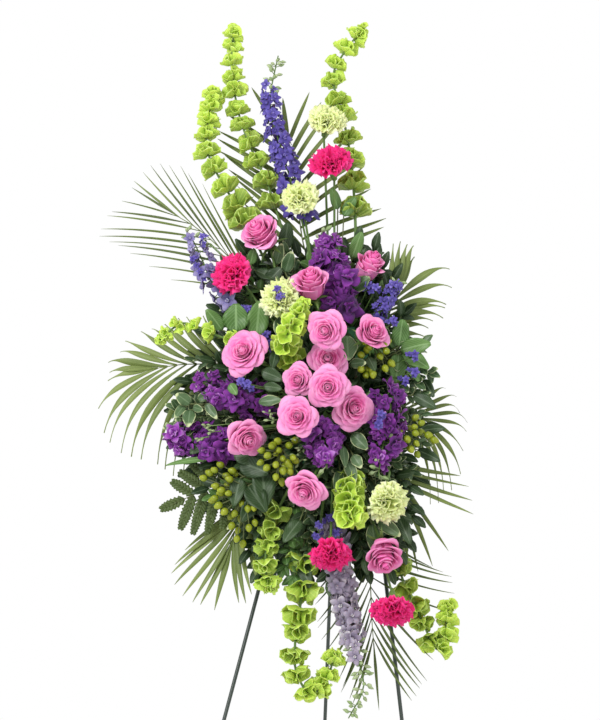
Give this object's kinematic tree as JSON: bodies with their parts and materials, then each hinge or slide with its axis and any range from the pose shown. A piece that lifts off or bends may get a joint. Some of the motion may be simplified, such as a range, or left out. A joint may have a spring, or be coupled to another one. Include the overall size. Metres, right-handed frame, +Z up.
{
  "type": "standing funeral spray",
  "caption": "Standing spray of cut flowers and greenery in a foam brick, hung in a plastic tray on a folding tripod easel of bent wire.",
  "frame": {"origin": "on the floor, below the middle of the object's bounding box", "axes": "+Z up, -Y the way the flowers face, +X to the viewer's right; the easel's front feet are at -Y and its back foot at +Y"},
  "size_m": [0.622, 0.7438, 1.8264],
  "materials": {
    "rose_petals": "soft petals",
    "carnation_pink": "soft ruffled petals",
    "carnation_green": "soft ruffled petals",
    "bells_of_ireland": "veined satin",
    "larkspur_petals": "soft petals",
    "stock_petals": "soft petals",
    "hypericum_berries": "smooth, a little glossy",
    "palm_leaf": "satin leaf",
    "fern_leaf": "satin leaf",
    "pittosporum_leaf": "satin leaf with pale edges",
    "wet_foam": "matte, fine pored",
    "tray_plastic": "matte",
    "painted_wire": "dark green paint, satin"
  },
  "bodies": {
    "front_frame_with_spray": {"bells_of_ireland_1": "bells_of_ireland", "bells_of_ireland_2": "bells_of_ireland", "bells_of_ireland_3": "bells_of_ireland", "bells_of_ireland_4": "bells_of_ireland", "bells_of_ireland_5": "bells_of_ireland", "bells_of_ireland_6": "bells_of_ireland", "bells_of_ireland_7": "bells_of_ireland", "bells_of_ireland_8": "bells_of_ireland", "bells_of_ireland_9": "bells_of_ireland", "carnation_1_pink": "carnation_pink", "carnation_2_pink": "carnation_pink", "carnation_3_pink": "carnation_pink", "carnation_4_pink": "carnation_pink", "carnation_5_green": "carnation_green", "carnation_6_green": "carnation_green", "carnation_7_green": "carnation_green", "carnation_8_green": "carnation_green", "easel_front_frame": "painted_wire", "floral_foam": "wet_foam", "hypericum_1": "hypericum_berries", "hypericum_2": "hypericum_berries", "hypericum_3": "hypericum_berries", "hypericum_4": "hypericum_berries", "larkspur_1": "larkspur_petals", "larkspur_2": "larkspur_petals", "larkspur_3": "larkspur_petals", "larkspur_4": "larkspur_petals", "leatherleaf_fern": "fern_leaf", "palm_frond_1": "palm_leaf", "palm_frond_2": "palm_leaf", "palm_frond_3": "palm_leaf", "palm_frond_4": "palm_leaf", "palm_frond_5": "palm_leaf", "palm_frond_6": "palm_leaf", "palm_frond_7": "palm_leaf", "palm_frond_8": "palm_leaf", "pittosporum_1": "pittosporum_leaf", "pittosporum_2": "pittosporum_leaf", "pittosporum_3": "pittosporum_leaf", "rose_01": "rose_petals", "rose_02": "rose_petals", "rose_03": "rose_petals", "rose_04": "rose_petals", "rose_05": "rose_petals", "rose_06": "rose_petals", "rose_07": "rose_petals", "rose_08": "rose_petals", "rose_09": "rose_petals", "rose_10": "rose_petals", "rose_11": "rose_petals", "rose_12": "rose_petals", "rose_13": "rose_petals", "rose_14": "rose_petals", "spray_tray": "tray_plastic", "stock_1": "stock_petals", "stock_2": "stock_petals", "stock_3": "stock_petals", "stock_4": "stock_petals", "stock_5": "stock_petals"},
    "back_leg": {"easel_back_leg": "painted_wire"}
  },
  "joints": [
    {"name": "back_leg_fold", "type": "hinge", "parent": "front_frame_with_spray", "child": "back_leg", "pos_m": [0.093, -0.08133, 1.35], "axis": [-1, 0, 0], "range_deg": [0, 27]}
  ]
}
